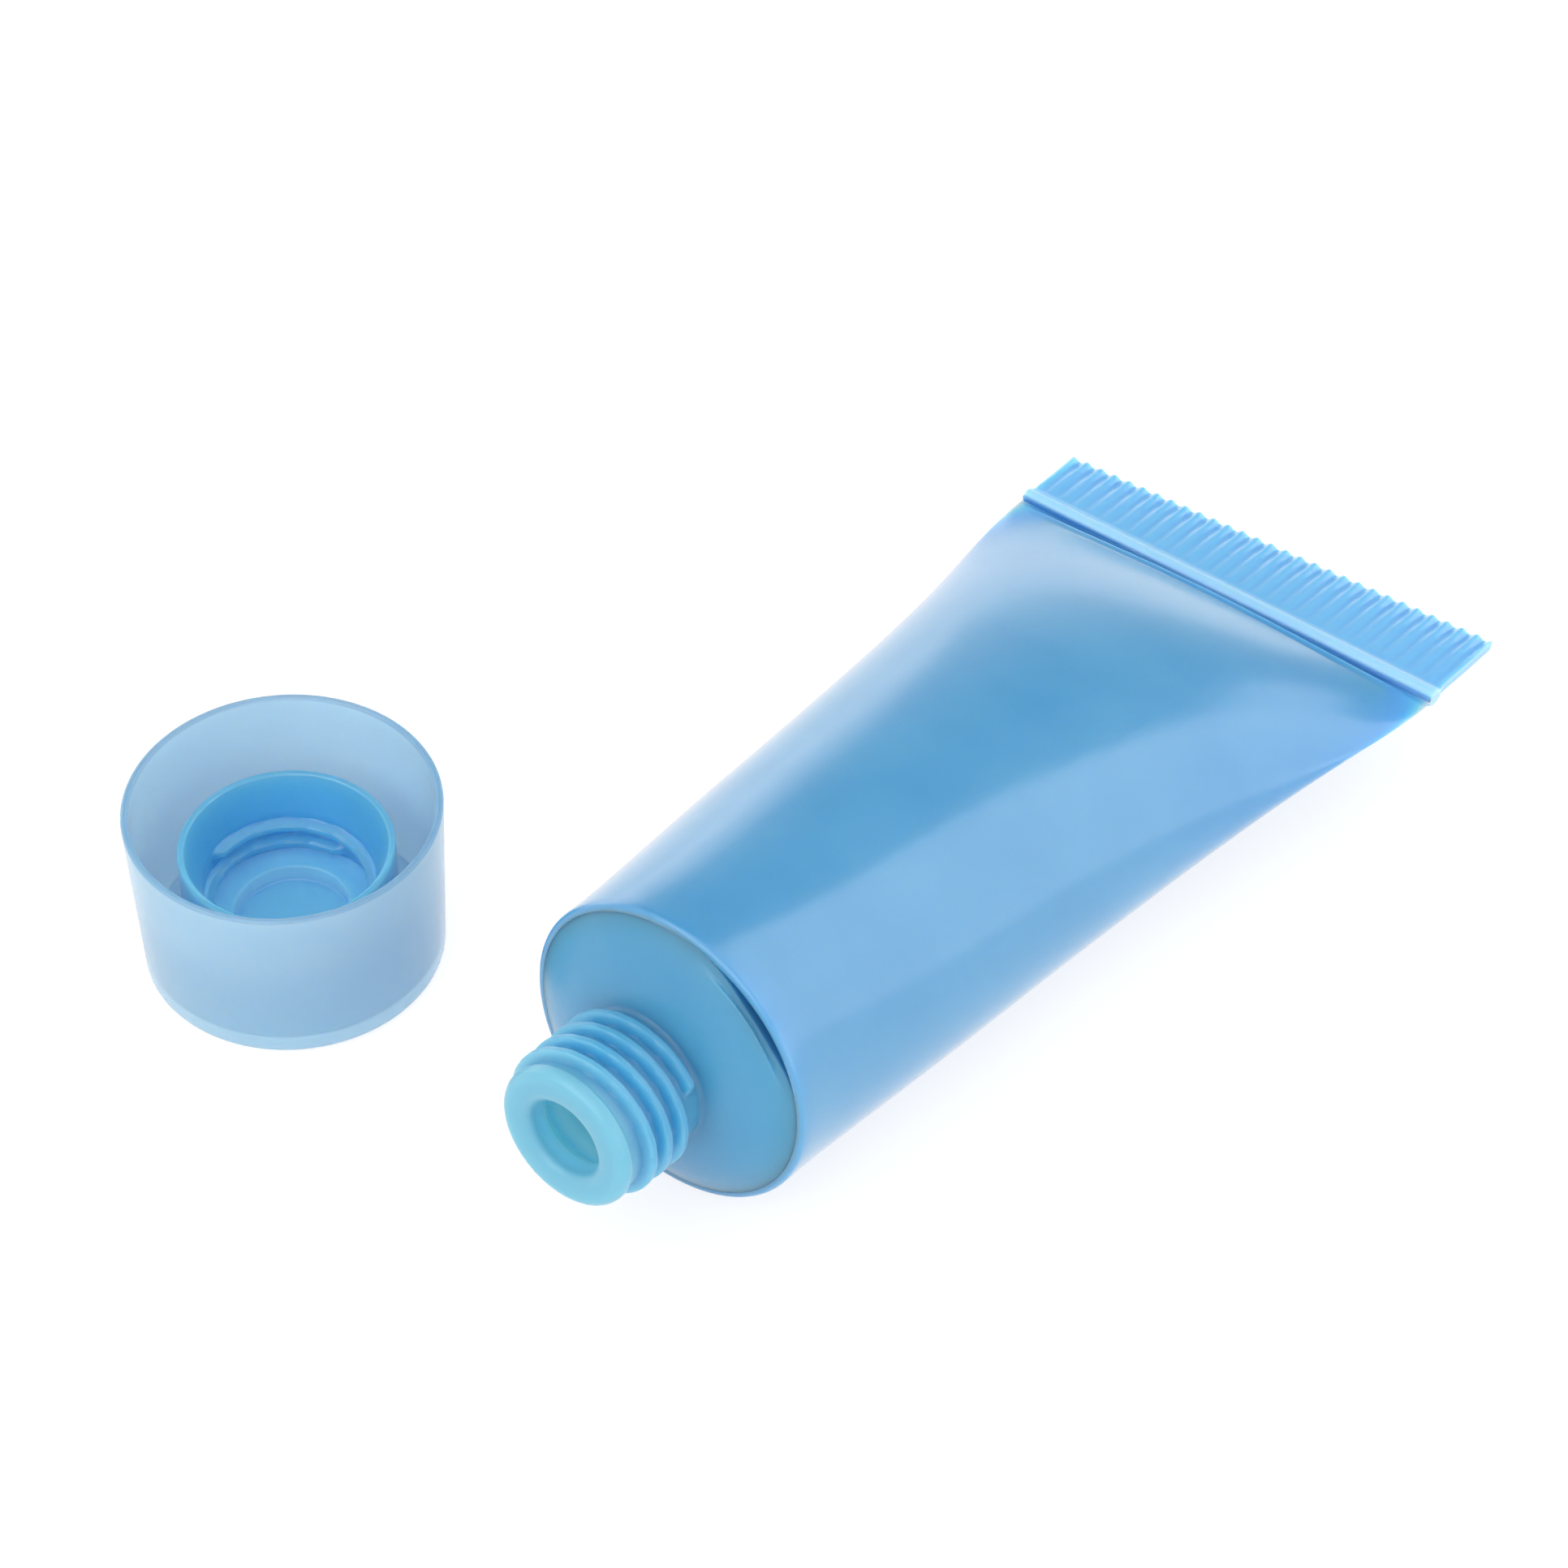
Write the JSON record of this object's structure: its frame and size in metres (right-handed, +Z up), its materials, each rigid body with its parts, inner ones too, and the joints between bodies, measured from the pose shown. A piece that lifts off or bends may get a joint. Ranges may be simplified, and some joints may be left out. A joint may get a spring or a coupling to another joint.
{
  "type": "small squeeze tube with its screw cap off",
  "caption": "Empty squeeze tube with a heat-sealed ribbed tail and a threaded neck, lying on its side, with its flush screw cap standing open beside it.",
  "frame": {"origin": "on the ground, under the middle of the box round the tube and its cap", "axes": "+X along the tube from its neck to its heat-sealed tail, +Y towards the cap's side, +Z up"},
  "size_m": [0.0774, 0.0616, 0.0222],
  "materials": {
    "sleeve_film": "satin extruded polyethylene, translucent light blue",
    "head_moulding": "semi-gloss injection-moulded polyethylene, translucent blue",
    "cap_moulding": "smooth injection-moulded polypropylene, translucent light blue"
  },
  "bodies": {
    "root": {"tube_sleeve": "sleeve_film", "shoulder_neck": "head_moulding", "screw_cap": "cap_moulding"}
  },
  "joints": []
}
